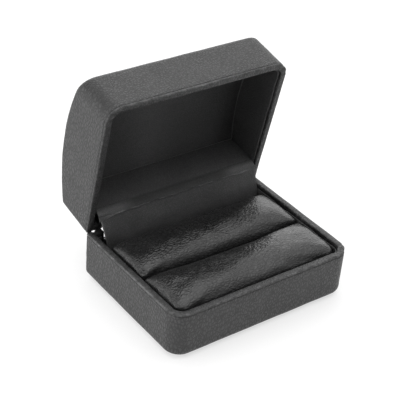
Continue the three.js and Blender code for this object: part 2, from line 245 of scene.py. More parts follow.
def cut_box(obj, x, y, z, lid=False):
    """Cuts a box, given as three (low, high) pairs in part mm, out of obj."""
    corners = [(a, b, c) for a in x for b in y for c in z]
    faces = [(0, 1, 3, 2), (4, 6, 7, 5), (0, 4, 5, 1), (2, 3, 7, 6), (0, 2, 6, 4), (1, 5, 7, 3)]
    tool = mesh_object("cut_tool", np.array(corners), faces, lid=lid)
    mod = obj.modifiers.new("cut", "BOOLEAN")
    mod.operation = "DIFFERENCE"
    mod.solver = "EXACT"
    mod.object = tool
    apply_modifiers(obj)
    bpy.data.objects.remove(tool)


def apply_modifiers(obj):
    bpy.context.view_layer.update()
    graph = bpy.context.evaluated_depsgraph_get()
    made = bpy.data.meshes.new_from_object(obj.evaluated_get(graph))
    obj.modifiers.clear()
    old = obj.data
    obj.data = made
    bpy.data.meshes.remove(old)
    obj.data.name = obj.name
    for f in obj.data.polygons:
        f.use_smooth = True


# ---------------------------------------------------------------- materials
def node(tree, kind, **values):
    n = tree.nodes.new(kind)
    for key, value in values.items():
        if key in n.inputs:
            n.inputs[key].default_value = value
        else:
            setattr(n, key, value)
    return n


def ramp(tree, source, low_in, high_in, low_out, high_out):
    n = node(tree, "ShaderNodeMapRange")
    for key, value in zip(
        ("From Min", "From Max", "To Min", "To Max"), (low_in, high_in, low_out, high_out)
    ):
        n.inputs[key].default_value = value
    tree.links.new(source, n.inputs["Value"])
    return n.outputs["Result"]


def maths(tree, op, a, b):
    n = node(tree, "ShaderNodeMath", operation=op)
    for i, v in enumerate((a, b)):
        if isinstance(v, (int, float)):
            n.inputs[i].default_value = v
        else:
            tree.links.new(v, n.inputs[i])
    return n.outputs[0]


BLOTCH = 0.12  # how far leatherette's tone wanders


def leatherette(name, grey, rough, cell, depth, crease=0.35, specular=0.5, wear_and_highlight=0.4, tall=(1, 1, 1)):
    """Pressed vinyl grain: pebbles `cell` mm across with `depth` mm of relief between them."""
    mat = bpy.data.materials.new(name)
    mat.use_nodes = True
    tree = mat.node_tree
    links = tree.links
    bsdf = tree.nodes["Principled BSDF"]
    coords = node(tree, "ShaderNodeTexCoord").outputs["Object"]
    warp = node(tree, "ShaderNodeTexNoise", Scale=0.35 / (cell * MM), Detail=2.0)
    links.new(coords, warp.inputs["Vector"])
    shift = node(tree, "ShaderNodeVectorMath", operation="MULTIPLY_ADD")
    links.new(warp.outputs["Color"], shift.inputs[0])
    shift.inputs[1].default_value = (cell * MM * 0.9,) * 3
    links.new(coords, shift.inputs[2])
    squat = node(tree, "ShaderNodeMapping")
    squat.inputs["Scale"].default_value = [1 / c for c in tall]
    links.new(shift.outputs[0], squat.inputs["Vector"])
    pebble = node(tree, "ShaderNodeTexVoronoi", Scale=1 / (cell * MM), feature="DISTANCE_TO_EDGE")
    links.new(squat.outputs[0], pebble.inputs["Vector"])
    fine = node(tree, "ShaderNodeTexNoise", Scale=2.6 / (cell * MM), Detail=3.0, Roughness=0.6)
    links.new(coords, fine.inputs["Vector"])
    broad = node(tree, "ShaderNodeTexNoise", Scale=90.0, Detail=3.0, Roughness=0.55)
    links.new(coords, broad.inputs["Vector"])
    patch = node(tree, "ShaderNodeTexNoise", Scale=0.22 / (cell * MM), Detail=2.0)
    links.new(coords, patch.inputs["Vector"])

    domed = ramp(tree, pebble.outputs["Distance"], 0.0, 0.28, 0.0, 1.0)
    grain = maths(tree, "MULTIPLY", domed, ramp(tree, patch.outputs["Fac"], 0.3, 0.7, 0.55, 1.0))
    grain = maths(tree, "ADD", grain, maths(tree, "MULTIPLY", fine.outputs["Fac"], 0.5))
    bump = node(tree, "ShaderNodeBump", Strength=1.0, Distance=depth * MM)
    links.new(grain, bump.inputs["Height"])
    links.new(bump.outputs["Normal"], bsdf.inputs["Normal"])

    tone = maths(tree, "MULTIPLY", ramp(tree, domed, 0, 1, 1 - crease, 1.0),
                 ramp(tree, broad.outputs["Fac"], 0.3, 0.7, 1 - BLOTCH, 1 + BLOTCH))
    rough_out = ramp(tree, broad.outputs["Fac"], 0.3, 0.7, rough - 0.05, rough + 0.05)
    rough_out = maths(tree, "ADD", rough_out, ramp(tree, domed, 0, 1, 0.12, 0.0))
    # Painted light and shade: the "shade" attribute scales the colour where the builders paint shade,
    # reflection or light.
    shade = node(tree, "ShaderNodeAttribute", attribute_name="shade").outputs["Fac"]
    tone = maths(tree, "MULTIPLY", tone, maths(tree, "ADD", shade, 1.0))
    # The "edge" attribute adds rubbing together with painted highlights along edges and lips.
    edge = node(tree, "ShaderNodeAttribute", attribute_name="edge").outputs["Fac"]
    worn_and_lit = maths(tree, "MULTIPLY", edge, ramp(tree, fine.outputs["Fac"], 0.35, 0.65, 0.3, 1.0))
    tone = maths(tree, "ADD", tone, maths(tree, "MULTIPLY", worn_and_lit, wear_and_highlight))
    rough_out = maths(tree, "SUBTRACT", rough_out, maths(tree, "MULTIPLY", worn_and_lit, 0.08))
    value = maths(tree, "MULTIPLY", tone, grey)
    colour = node(tree, "ShaderNodeCombineColor")
    for i, tint in enumerate((1.0, 1.0, 1.01)):
        links.new(maths(tree, "MULTIPLY", value, tint), colour.inputs[i])
    links.new(colour.outputs[0], bsdf.inputs["Base Color"])
    links.new(rough_out, bsdf.inputs["Roughness"])
    bsdf.inputs["IOR"].default_value = 1.5
    bsdf.inputs["Specular IOR Level"].default_value = specular
    return mat


def metal(name, grey, rough, stretch):
    """Sheet steel with a drawn grain along X and faint tarnish."""
    mat = bpy.data.materials.new(name)
    mat.use_nodes = True
    tree = mat.node_tree
    links = tree.links
    bsdf = tree.nodes["Principled BSDF"]
    coords = node(tree, "ShaderNodeTexCoord").outputs["Object"]
    mapping = node(tree, "ShaderNodeMapping")
    mapping.inputs["Scale"].default_value = (stretch, 1.0, 1.0)
    links.new(coords, mapping.inputs["Vector"])
    lines = node(tree, "ShaderNodeTexNoise", Scale=6000.0, Detail=2.0)
    links.new(mapping.outputs[0], lines.inputs["Vector"])
    tarnish = node(tree, "ShaderNodeTexNoise", Scale=220.0, Detail=4.0)
    links.new(coords, tarnish.inputs["Vector"])
    bump = node(tree, "ShaderNodeBump", Strength=0.4, Distance=0.00002)
    links.new(lines.outputs["Fac"], bump.inputs["Height"])
    links.new(bump.outputs["Normal"], bsdf.inputs["Normal"])
    value = maths(tree, "MULTIPLY", ramp(tree, tarnish.outputs["Fac"], 0.3, 0.7, 0.75, 1.1), grey)
    colour = node(tree, "ShaderNodeCombineColor")
    for i, tint in enumerate((1.0, 1.0, 1.02)):
        links.new(maths(tree, "MULTIPLY", value, tint), colour.inputs[i])
    links.new(colour.outputs[0], bsdf.inputs["Base Color"])
    rough_out = ramp(tree, lines.outputs["Fac"], 0.3, 0.7, rough - 0.06, rough + 0.08)
    links.new(rough_out, bsdf.inputs["Roughness"])
    bsdf.inputs["Metallic"].default_value = 1.0
    return mat


def fibrous(name, colour, scale, depth):
    """Card or foam: mottled colour with a dull, open surface."""
    mat = bpy.data.materials.new(name)
    mat.use_nodes = True
    tree = mat.node_tree
    links = tree.links
    bsdf = tree.nodes["Principled BSDF"]
    coords = node(tree, "ShaderNodeTexCoord").outputs["Object"]
    speck = node(tree, "ShaderNodeTexNoise", Scale=scale, Detail=5.0, Roughness=0.65)
    links.new(coords, speck.inputs["Vector"])
    bump = node(tree, "ShaderNodeBump", Strength=1.0, Distance=depth)
    links.new(speck.outputs["Fac"], bump.inputs["Height"])
    links.new(bump.outputs["Normal"], bsdf.inputs["Normal"])
    mix = node(tree, "ShaderNodeCombineColor")
    shade = ramp(tree, speck.outputs["Fac"], 0.3, 0.7, 0.7, 1.2)
    for i, c in enumerate(colour):
        links.new(maths(tree, "MULTIPLY", shade, c), mix.inputs[i])
    links.new(mix.outputs[0], bsdf.inputs["Base Color"])
    links.new(ramp(tree, speck.outputs["Fac"], 0.3, 0.7, 0.85, 0.98), bsdf.inputs["Roughness"])
    return mat


SKIN_MAT = leatherette("outer_leatherette", 0.0495, 0.44, 1.0, 0.15, crease=0.55, wear_and_highlight=1.8, tall=(1, 1, 1.7))
ROLL_MAT = leatherette("roll_leatherette", 0.023, 0.2, 0.95, 0.08, crease=0.5, specular=0.58, tall=(2, 1, 1))
LINING_MAT = leatherette("lining_leatherette", 0.054, 0.5, 0.7, 0.07, specular=0.5, wear_and_highlight=3.5)
FLAP_MAT = leatherette("flap_leatherette", 0.083, 0.5, 0.7, 0.07, specular=0.45, wear_and_highlight=2.0)
STEEL_MAT = metal("sheet_steel", 0.42, 0.38, 0.03)
SPRING_MAT = metal("spring_steel", 0.5, 0.28, 0.05)
CARD_MAT = fibrous("card", (0.06, 0.056, 0.05), 2500.0, 0.00004)
FOAM_MAT = fibrous("foam", (0.09, 0.09, 0.1), 1800.0, 0.00025)


def finish(obj, material, body, stands_for=()):
    obj.data.materials.clear()
    obj.data.materials.append(material)
    if body:
        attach(obj, body)
    if stands_for:
        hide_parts(*stands_for)
    return obj


# ---------------------------------------------------------------- skins
def rim_section(top, up):
    """Outer wall to inner turned edge, over the rim; up is 1 for the base, -1 for the lid."""
    groove = [(-1.5, 0), (-1.2, 0.02), (-1.04, 0.1), (-0.92, 0.16), (-0.8, 0.1), (-0.66, 0.02), (-0.56, 0)]
    pts = [(depth, top + up * dz) for dz, depth in groove]
    pts += [(t, top + up * (z - top)) for t, z in arc(0.5, top - 0.5, 0.5, 0, 90, 6)]
    pts += [(1.0, top + up * 0.02), (1.5, top + up * 0.02)]
    pts += [(t, top + up * (z - top)) for t, z in arc(RIM - 0.55, top - 0.55, 0.55, 90, 180, 6)]
    pts += [(RIM, top - up * d) for d in (1.2, 2.2, 3.4, 4.8, TURN_IN)]
    pts += [(RIM - 0.6, top - up * TURN_IN), (RIM - 0.6, top - up * 0.75), (SKIN, top - up * 0.75)]
    return pts


def corner_share(pts, p):
    """1 in the middle of a front corner's bend, falling to 0 along the straights."""
    cx, cy = p["hw"] - p["rf"], p["yf"] + p["rf"]
    a = np.arctan2(-(pts[:, 1] - cy), np.abs(pts[:, 0]) - cx)
    inside = (np.abs(pts[:, 0]) > cx - 3) & (pts[:, 1] < cy + 3)
    return np.where(inside, np.clip(1 - np.abs(a - math.pi / 4) / 0.9, 0, 1), 0), a


def skin_shape(p, top, up, seed):
    """Slight unevenness all over, and small pleats where the skin turns over the front corners."""

    def shape(pts):
        out = pts.copy()
        mid = np.array([0, (p["yf"] + p["yb"]) / 2, 0])
        outward = pts - mid
        outward[:, 2] = 0
        outward /= np.maximum(np.linalg.norm(outward, axis=1), 1e-6)[:, None]
        out += outward * (0.045 * waves(pts, 14, seed) + 0.02 * waves(pts, 4, seed + 1))[:, None]
        share, a = corner_share(pts, p)
        near_rim = np.clip(1 - np.abs((pts[:, 2] - top) * up + 0.25) / 1.3, 0, 1)
        pleat = (np.sin(a * 15 + 1.3 * np.sin(a * 5)) - 1) * share * near_rim
        out[:, 2] += up * 0.2 * pleat
        out += outward * (0.2 * (pleat + share * near_rim))[:, None]
        # The two rims press together along the hinge side when the box stands open.
        from_back = (pts[:, 1] - p["yb"] + 0.15) / 0.45
        from_top = ((pts[:, 2] - top) * up + 0.15) / 0.45
        back = np.exp(-(from_back**2) - from_top**2)
        nick = np.exp(-(((np.abs(pts[:, 0]) - NICK_X) / NICK_WIDTH) ** 4))
        nick_depth = (0.42 + 0.28 * up) * nick
        out[:, 1] += back * (BULGE_OUT - nick_depth)
        out[:, 2] += back * up * (BULGE_UP - nick_depth)
        return out

    return shape


def rim_attributes(rings, section, top, up, bright=1.0, painted_rim_shade=0.0):
    """Rubbing and painted highlight on the rounded edges; painted shade on the inner edge and in the groove.

    Behind the front, `bright` is the share of the edge marks left; the last argument paints shade on the top."""
    edge, shade = [], []
    for (t, z), r in zip(section, rings):
        d = (z - top) * up
        # Rubbing with painted highlight on the outer and inner rounded edges, and faintly over the rim's top.
        on_edge = np.exp(-((t / 0.5) ** 2) - ((d + 0.2) / 0.35) ** 2)
        on_edge = max(on_edge, 0.6 * math.exp(-(((t - RIM) / 0.45) ** 2) - ((d + 0.2) / 0.3) ** 2))
        spots = np.clip(0.75 + 0.6 * waves(r, 3.5, 7) + 0.3 * waves(r, 1.4, 8), 0, 1.6)
        front = np.clip((8 - r[:, 1] + r[0, 1]) / 8, 0, 1)
        edge.append((on_edge + 0.12 * (d > -0.2) * (t < RIM)) * spots * (bright + (1 - bright) * front))
        # Painted shade on the inner rounding, and where the last argument asks for it, over the rim's top.
        inner = np.clip((t - RIM + 1.1) / 0.6, 0, 1) * (t <= RIM)
        inner = np.maximum(inner, painted_rim_shade * (d > -0.3) * (t > 0.3) * (t < RIM + 0.2))
        # Painted shade along the groove below the rim's edge.
        groove = 0.6 * (t > 0.05) * (t < 0.3) * (-1.15 < d < -0.7)
        shade.append(inner * np.clip(-0.45 + 0.25 * waves(r, 2.2, 17), -0.75, 0) - groove)
    return np.concatenate(edge), np.concatenate(shade)


def build_base_cover():
    foot_z = SKIN_Z + R_FOOT
    foot = arc(R_FOOT, foot_z, R_FOOT, -90, 0, 9)
    foot_in = arc(R_FOOT, foot_z, R_FOOT - SKIN, 0, -90, 5)
    section = [(8, SKIN_Z), (6, SKIN_Z), (4, SKIN_Z), *foot]
    section += [(0, z) for z in np.linspace(foot_z, RIM_Z - PLAIN_WALL, 12)[1:-1]]
    section += rim_section(RIM_Z, 1)
    section += [*foot_in, (8, SKIN_Z + SKIN)]
    rings = [ring(inset(BOX, t), z) for t, z in section]
    edge, shade = rim_attributes(rings, section, RIM_Z, 1)
    values = {"edge": edge, "shade": shade}
    obj = loft("base_skin", rings, True, shape=skin_shape(BOX, RIM_Z, 1, 3), attributes=values)
    y, z = HINGE[1:]
    wide = (-NOTCH_BASE, NOTCH_BASE)
    cut_box(obj, wide, (y - CUT_FRONT, y + CUT_BACK), (z - NOTCH_BASE_Z, z + CUT_PAST))
    cut_box(obj, wide, (y - CUT_FRONT, y + RELIEF_Y), (z - RELIEF, z + CUT_PAST))
    finish(obj, SKIN_MAT, "base", ["base_cover"])


def dome_top(y):
    return LID_RIM + LID_WALL + DOME * (1 - ((y + HINGE[1]) / HALF_D) ** 2)


def lining_under(y):
    return LID_RIM + LINING_MID - LINING_SAG * ((y + HINGE[1]) / 19) ** 2


def dome_rings(depth, steps, last):
    rings = []
    radius = R_CROWN - depth
    for i in range(steps + 1):
        a = math.radians(90 * i / steps)
        drop = R_CROWN - radius * math.sin(a)
        rings.append(ring(inset(LID, R_CROWN - radius * math.cos(a)), lambda y, d=drop: dome_top(y) - d))
    for t in last:
        rings.append(ring(inset(LID, t), lambda y: dome_top(y) - depth))
    return rings


def build_lid_cover():
    across = np.arange(R_CROWN + 1.4, HALF_D - 0.3, 1.4)
    rim = rim_section(LID_RIM, -1)[::-1]
    inner = dome_rings(SKIN, 3, np.linspace(4, HALF_D - 0.4, 8))[::-1]
    outer_wall = [
        ring(LID, lambda y, k=k: LID_RIM + PLAIN_WALL + (dome_top(y) - R_CROWN - LID_RIM - PLAIN_WALL) * k)
        for k in np.linspace(0, 1, 12)[1:-1]
    ]
    rings = inner + [ring(inset(LID, t), z) for t, z in rim] + outer_wall + dome_rings(0, 7, across)
    n = len(rings[0])
    values = {"edge": np.zeros(len(rings) * n), "shade": np.zeros(len(rings) * n)}
    # Less rubbing and painted highlight behind the front, and painted shade over the rim's top.
    parts = rim_attributes(rings[len(inner):len(inner) + len(rim)], rim, LID_RIM, -1, 0.25, 0.6)
    for key, part in zip(values, parts):
        values[key][len(inner) * n:len(inner) * n + len(part)] = part
    every = np.concatenate(rings)
    # Painted shade on the outside of the lid's rounded front corners.
    cx, cy = LID["hw"] - LID["rf"], LID["yf"] + LID["rf"]
    bend = np.arctan2(-(every[:, 1] - cy), np.abs(every[:, 0]) - cx)
    away = np.hypot(every[:, 0], every[:, 1] - cy) > cx - 1
    outside = np.arange(len(every)) >= (len(inner) + len(rim)) * n
    corner_shade, middle, spread = 0.5, 0.8, 0.38
    values["shade"] -= corner_shade * outside * away * np.exp(-(((bend - middle) / spread) ** 2))
    obj = loft("lid_skin", rings, lid=True, shape=skin_shape(LID, LID_RIM, -1, 11), attributes=values)
    wide = (-NOTCH_LID, NOTCH_LID)
    cut_box(obj, wide, (-CUT_FRONT, CUT_BACK), (-CUT_PAST, NOTCH_LID_Z), lid=True)
    cut_box(obj, wide, (-CUT_FRONT, RELIEF_Y), (-CUT_PAST, RELIEF), lid=True)
    finish(obj, SKIN_MAT, "lid", ["lid_cover"])


build_base_cover()
build_lid_cover()

# ---------------------------------------------------------------- rolls
SIM_SCALE = 6.0  # a roll is simulated at the size of a seat cushion, where cloth settings are known to hold
ROLL_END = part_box("cushion_cover_front")[1].x / MM
SHOULDER = RIM_Z - 1.9
ROLL_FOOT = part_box("cushion_cover_front")[0].z / MM
ROLL_RISE = 4.5  # a roll's height over its shoulder
SLOT_Y = -2.6  # where the slot between the rolls lies
PINCH_DEPTH, PINCH_X, PINCH_Y = 0.9, -32.4, -0.6  # the fold at a roll's left end
VOXEL = 0.005  # metres, at SIM_SCALE
CLOTH_FRAMES = 20
MOST_SWELL = 0.5


def roll_height(x, y, y0, y1, rise, crest):
    """Height of a roll's top over its shoulder: full along the middle, drawn down at the ends."""
    mid = (y0 + y1) / 2 + crest
    v = np.clip(np.where(y > mid, (y - mid) / (y1 - mid), (mid - y) / (mid - y0)), 0, 1)
    u = np.clip(np.abs(x) / ROLL_END, 0, 1)
    full = 1 - u**3
    return rise * (1 - v ** (3 - full)) ** (0.38 + 0.24 * full) * (1 - u**6) ** 0.58


def build_roll(name, side, lean, crest, seed):
    lo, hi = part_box("cushion_cover_" + side)
    y0, y1 = lo.y / MM, hi.y / MM
    corner_radii = [4.2, 1.4] if side == "front" else [1.4, 2.2]
    p = plan(ROLL_END, y0, y1, *corner_radii)
    steps = {"front": 46, "side": 14, "back": 46, "arc_f": 5, "arc_b": 5}
    start = inset(p, 0.15)
    rings = [ring(start, z, **steps) for z in np.linspace(ROLL_FOOT, SHOULDER, 10)]
    reach = (y1 - y0) / 2
    for t in np.concatenate([[0.12, 0.4, 0.9, 1.6, 2.5], np.arange(3.5, reach - 0.35, 1.0)]):
        r1 = ring(inset(start, t), SHOULDER, **steps)
        r1[:, 2] += roll_height(r1[:, 0], r1[:, 1], y0, y1, ROLL_RISE, crest)
        rings.append(r1)
    obj = loft(name, rings)
    remesh(obj)
    inflate(obj)
    obj.data.transform(Matrix.Scale(1 / SIM_SCALE, 4))
    smooth = obj.modifiers.new("smooth", "SMOOTH")
    smooth.factor = 0.5
    smooth.iterations = 4
    relax = obj.modifiers.new("subdivide", "SUBSURF")
    relax.levels = relax.render_levels = 1
    apply_modifiers(obj)
    shape_roll(obj, side, (y0, y1), lean, seed)
    finish(obj, ROLL_MAT, "base", ["cushion_cover_" + side, "cushion_core_" + side])


def remesh(obj):
    obj.data.transform(Matrix.Scale(SIM_SCALE, 4))
    voxels = obj.modifiers.new("remesh", "REMESH")
    voxels.mode = "VOXEL"
    voxels.voxel_size = VOXEL
    apply_modifiers(obj)


def inflate(obj):
    """Cloth under pressure; the foot and the walls below the shoulder stay put."""
    n = len(obj.data.vertices)
    before = np.zeros(n * 3)
    obj.data.vertices.foreach_get("co", before)
    before = before.reshape(-1, 3)
    z = before[:, 2] / (MM * SIM_SCALE)
    pin = obj.vertex_groups.new(name="pin")
    weight = np.clip((SHOULDER - 1.2 - z) / 2.5, 0, 1)
    for i in np.flatnonzero(weight > 0):
        pin.add([int(i)], float(weight[i]), "REPLACE")
    cloth = obj.modifiers.new("cloth", "CLOTH")
    cs = cloth.settings
    cs.quality = 6
    cs.mass = 0.4
    cs.tension_stiffness = cs.compression_stiffness = 18
    cs.shear_stiffness = 8
    cs.bending_stiffness = 1.2
    cs.use_pressure = True
    cs.uniform_pressure_force = 4
    cs.effector_weights.gravity = 0
    cs.vertex_group_mass = "pin"
    cloth.point_cache.frame_start = 1
    cloth.point_cache.frame_end = CLOTH_FRAMES
    for f in range(1, CLOTH_FRAMES + 1):
        scene.frame_set(f)
    apply_modifiers(obj)
    scene.frame_set(1)
    after = np.zeros(n * 3)
    obj.data.vertices.foreach_get("co", after)
    move = after.reshape(-1, 3) - before
    size = np.linalg.norm(move, axis=1)[:, None]
    cap = MOST_SWELL * MM * SIM_SCALE
    move *= np.minimum(1, cap / np.maximum(size, 1e-9))
    obj.data.vertices.foreach_set("co", (before + move).ravel())
    obj.vertex_groups.clear()


def shape_roll(obj, side, span, lean, seed):
    """Keeps the roll inside its space, and adds the folds the leatherette takes where it is pulled in."""
    y0, y1 = span
    n = len(obj.data.vertices)
    co = np.zeros(n * 3)
    obj.data.vertices.foreach_get("co", co)
    co = co.reshape(-1, 3) / MM
    top = np.clip((co[:, 2] - SHOULDER + 0.5) / 2, 0, 1)
    x, y = co[:, 0], co[:, 1]
    ends = np.clip((np.abs(x) - 20) / 14, 0, 1) ** 1.5
    near_slot = np.exp(-(((y - SLOT_Y) / 3.2) ** 2))
    folds = 0.13 * ends * near_slot * np.sin(x * 2.3 + 1.2 * np.sin(x * 0.9 + seed) + y * 0.7)
    soft = 0.12 * waves(co * [0.6, 1, 1], 9, seed) + 0.05 * waves(co * [0.5, 1, 1], 3.2, seed + 1)
    from_pinch = y - PINCH_Y
    pinch = PINCH_DEPTH * np.exp(-(((x - PINCH_X + 0.4 * from_pinch) / 0.5) ** 2) - (from_pinch / 1.2) ** 2)
    co[:, 2] += top * (folds + soft - pinch)
    bow = (1 - (x / ROLL_END) ** 2) * np.exp(-(((y - SLOT_Y) / 4.0) ** 2))
    co[:, 1] -= lean * bow * np.clip((co[:, 2] - SHOULDER + 1.5) / 3, 0, 1)
    co[:, 0] = np.clip(co[:, 0], -ROLL_END, ROLL_END)
    co[:, 1] = np.clip(co[:, 1], y0, y1)
    co[:, 2] = np.maximum(co[:, 2], ROLL_FOOT)
    obj.data.vertices.foreach_set("co", (co * MM).ravel())


build_roll("cushion_roll_front", "front", 1.9, -1.0, 21)
build_roll("cushion_roll_rear", "rear", -0.15, 0.8, 31)


# ---------------------------------------------------------------- linings
def spline(points, count):
    """Even steps along a smooth curve through (y, z) points."""
    p = np.asarray(points, float)
    ext = np.vstack([2 * p[0] - p[1], p, 2 * p[-1] - p[-2]])
    out = []
    for i in range(1, len(ext) - 2):
        a, b, c, d = ext[i - 1:i + 3]
        for t in np.arange(0, 1, 0.02):
            out.append(0.5 * (2 * b + (c - a) * t + (2 * a - 5 * b + 4 * c - d) * t**2
                              + (3 * b - a - 3 * c + d) * t**3))
    out.append(p[-1])
    out = np.array(out)
    run = np.concatenate([[0], np.cumsum(np.linalg.norm(np.diff(out, axis=0), axis=1))])
    at = np.linspace(0, run[-1], count)
    return np.column_stack([np.interp(at, run, out[:, k]) for k in (0, 1)])


# The flap as (y, z) points, from under the back lining down to behind the rear roll.
FLAP_PATH = [(25.52, 26.0), (25.22, 25.2), (24.35, 22.95), (22.9, 19.45), (22.05, 16), (21.8, 12), (22, 7.5)]


def build_base_liner():
    lo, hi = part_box("base_liner")
    z0, z1 = lo.z / MM, hi.z / MM
    mid = (LINER_OUT + LINER_IN) / 2
    half = (LINER_IN - LINER_OUT) / 2
    section = [(LINER_OUT, z0), (LINER_OUT, z0 + 5), (LINER_OUT, z1 - half)]
    section += [(t, z) for t, z in arc(mid, z1 - half, half, 0, 180, 6)][1:]
    section += [(LINER_IN, z1 - 3), (LINER_IN, z1 - 8), (LINER_IN, z0)]
    rings = [ring(inset(BOX, t), z) for t, z in section]

    def shape(pts):
        out = pts.copy()
        upper = np.clip((pts[:, 2] - z0) / 10, 0, 1)
        out[:, 2] += upper * 0.12 * waves(pts, 11, 41)
        return out

    obj = loft("base_lining_strip", rings, True, shape=shape)
    hinge_gap = 33.2
    cut_box(obj, (-hinge_gap, hinge_gap), (22, 27), (8, 22))
    finish(obj, LINING_MAT, "base", ["base_liner"])


def build_lining_top():
    """Covered board under the dome, its edge turned up all round."""
    rings = []
    for t in np.linspace(HALF_D - 0.3, LINER_IN + 1.0, 12):
        rings.append(ring(inset(LID, t), lambda y: lining_under(y) + 0.7))
    far = len(rings)
    for t, rise in [(0.0, 0.65), (0.0, 0.4), (0.02, 0.2), (0.08, 0.08), (0.2, 0.02), (0.6, 0)]:
        rings.append(ring(inset(LID, LINER_IN - 0.03 + t), lambda y, r=rise: lining_under(y) + r))
    for t in np.linspace(LINER_IN + 2.8, HALF_D - 0.3, 17):
        rings.append(ring(inset(LID, t), lining_under))

    def shape(pts):
        out = pts.copy()
        out[:, 2] -= 0.1 * waves(pts, 16, 51) + 0.03 * waves(pts, 5, 52)
        return out

    flat = np.concatenate(rings)
    x, y = flat[:, 0], flat[:, 1]
    # Painted light and shade: a lighter band near the middle, darker towards the right.
    painted_light_and_shade = 0.5 * np.exp(-(((x + 5) / 9) ** 2)) - 0.22 - 0.25 / (1 + np.exp((9 - x) / 4))
    painted_light_and_shade += 0.25 * np.exp(-((y / 14) ** 2)) / (1 + np.exp((4 - x) / 5))
    # Painted highlight along the turned-up edge.
    on_edge = [0.3, 0.5, 0.9, 0.9, 0.5]
    turned = [0.0] * far + on_edge + [0.0] * (len(rings) - far - len(on_edge))
    values = {"shade": painted_light_and_shade, "edge": np.repeat(turned, len(rings[0]))}
    obj = loft("lid_lining_panel", rings, lid=True, shape=shape, attributes=values)
    finish(obj, LINING_MAT, "lid", ["lid_lining_top"])


def build_lining_wall():
    foot = LID_RIM + 0.8
    mid = (LINER_OUT + LINER_IN) / 2
    half = (LINER_IN - LINER_OUT) / 2

    def upright(t, share):
        low_z = foot + half
        return ring(inset(LID, t), lambda y: low_z + (lining_under(y) + 0.9 - foot - half) * share)

    levels = np.array([1, 0.955, 0.94, 0.922, 0.875, 0.75, 0.62, 0.5, 0.38, 0.25, 0.12])
    rings = [upright(LINER_IN, share) for share in levels]
    for t, z in arc(mid, foot + half, half, 180, 360, 6):
        rings.append(ring(inset(LID, t), z))
    rings += [upright(LINER_OUT, share) for share in (0.3, 1.0)]

    def shape(pts):
        out = pts.copy()
        out[:, 2] += 0.08 * waves(pts, 10, 61) * (pts[:, 2] < foot + 2)
        return out

    # Painted highlight along the top edge of the wall lining.
    worn_and_lit = np.zeros(len(rings) * len(rings[0]))
    worn_and_lit[len(rings[0]):3 * len(rings[0])] = 0.6
    obj = loft("lid_lining_strip", rings, True, lid=True, shape=shape, attributes={"edge": worn_and_lit})
    y0 = BACK_PANEL_Y - HINGE[1] + 1.2
    hinge_gap = 33.5
    cut_box(obj, (-hinge_gap, hinge_gap), (y0, 0), (-2, 25), lid=True)
    finish(obj, LINING_MAT, "lid", ["lid_lining_wall"])


def hem_end(x):
    """Height, box open, where the back lining's turned hem ends on the flap; it droops at both ends."""
    t = np.abs(x - 1.5) / 31.5
    return 25.68 - 0.75 * t**5 + 0.14 * np.sin(x * 0.42) + 0.09 * np.sin(x * 1.1 + 1)


def from_open(yz):
    """(y, z) of the open box to the lid's own, drawn shut and from the axis."""
    dy, dz = yz[:, 0] - HINGE[1], yz[:, 1] - HINGE[2]
    c, s = math.cos(OPEN), math.sin(OPEN)
    return np.column_stack([dy * c - dz * s, dy * s + dz * c])


